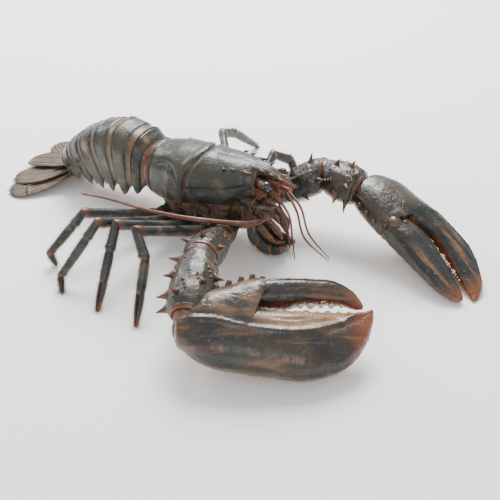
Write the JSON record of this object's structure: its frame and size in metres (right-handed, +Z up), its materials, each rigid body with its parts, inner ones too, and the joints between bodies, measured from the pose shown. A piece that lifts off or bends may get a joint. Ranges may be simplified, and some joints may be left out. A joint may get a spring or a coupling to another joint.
{
  "type": "american lobster",
  "caption": "Life-size American lobster standing with a heavy crusher claw and a slimmer pincer claw held forward, feelers swept back and the tail fan laid on the floor.",
  "frame": {"origin": "centre of the animal's outline on the floor, at floor level", "axes": "+X towards the head and claws, +Y the animal's left, +Z up"},
  "size_m": [0.6588, 0.4567, 0.1186],
  "materials": {
    "body_shell": "glossy mottled dark olive shell",
    "claw_shell": "glossy mottled dark olive brown shell with paler teeth",
    "leg_shell": "satin olive shell with paler joints",
    "tail_fan": "satin dark shell with a pale fringe",
    "underside": "satin pale tan",
    "feeler": "satin red brown",
    "eye": "glossy black"
  },
  "bodies": {
    "root": {"leg_right_1_upper": "leg_shell", "leg_right_1_shin": "leg_shell", "leg_right_1_foot": "leg_shell", "leg_right_2_upper": "leg_shell", "leg_right_2_shin": "leg_shell", "leg_right_2_foot": "leg_shell", "leg_right_3_upper": "leg_shell", "leg_right_3_shin": "leg_shell", "leg_right_3_foot": "leg_shell", "leg_right_4_upper": "leg_shell", "leg_right_4_shin": "leg_shell", "leg_right_4_foot": "leg_shell", "leg_left_1_upper": "leg_shell", "leg_left_1_shin": "leg_shell", "leg_left_1_foot": "leg_shell", "leg_left_2_upper": "leg_shell", "leg_left_2_shin": "leg_shell", "leg_left_2_foot": "leg_shell", "leg_left_3_upper": "leg_shell", "leg_left_3_shin": "leg_shell", "leg_left_3_foot": "leg_shell", "leg_left_4_upper": "leg_shell", "leg_left_4_shin": "leg_shell", "leg_left_4_foot": "leg_shell", "crusher_ischium": "claw_shell", "crusher_merus": "claw_shell", "crusher_carpus": "claw_shell", "crusher_palm": "claw_shell", "crusher_finger": "claw_shell", "pincer_ischium": "claw_shell", "pincer_merus": "claw_shell", "pincer_carpus": "claw_shell", "pincer_palm": "claw_shell", "pincer_finger": "claw_shell", "eye_right": "eye", "antenna_base_right": "body_shell", "antenna_right": "feeler", "antennule_right": "feeler", "maxilliped_right": "leg_shell", "eye_left": "eye", "antenna_base_left": "body_shell", "antenna_left": "feeler", "antennule_left": "feeler", "maxilliped_left": "leg_shell", "telson": "tail_fan", "uropod_right_inner": "tail_fan", "uropod_left_inner": "tail_fan", "uropod_right_outer": "tail_fan", "uropod_left_outer": "tail_fan", "abdomen_1": "body_shell", "abdomen_2": "body_shell", "abdomen_3": "body_shell", "abdomen_4": "body_shell", "abdomen_5": "body_shell", "abdomen_6": "body_shell", "thorax_underside": "underside", "carapace": "body_shell"}
  },
  "joints": []
}
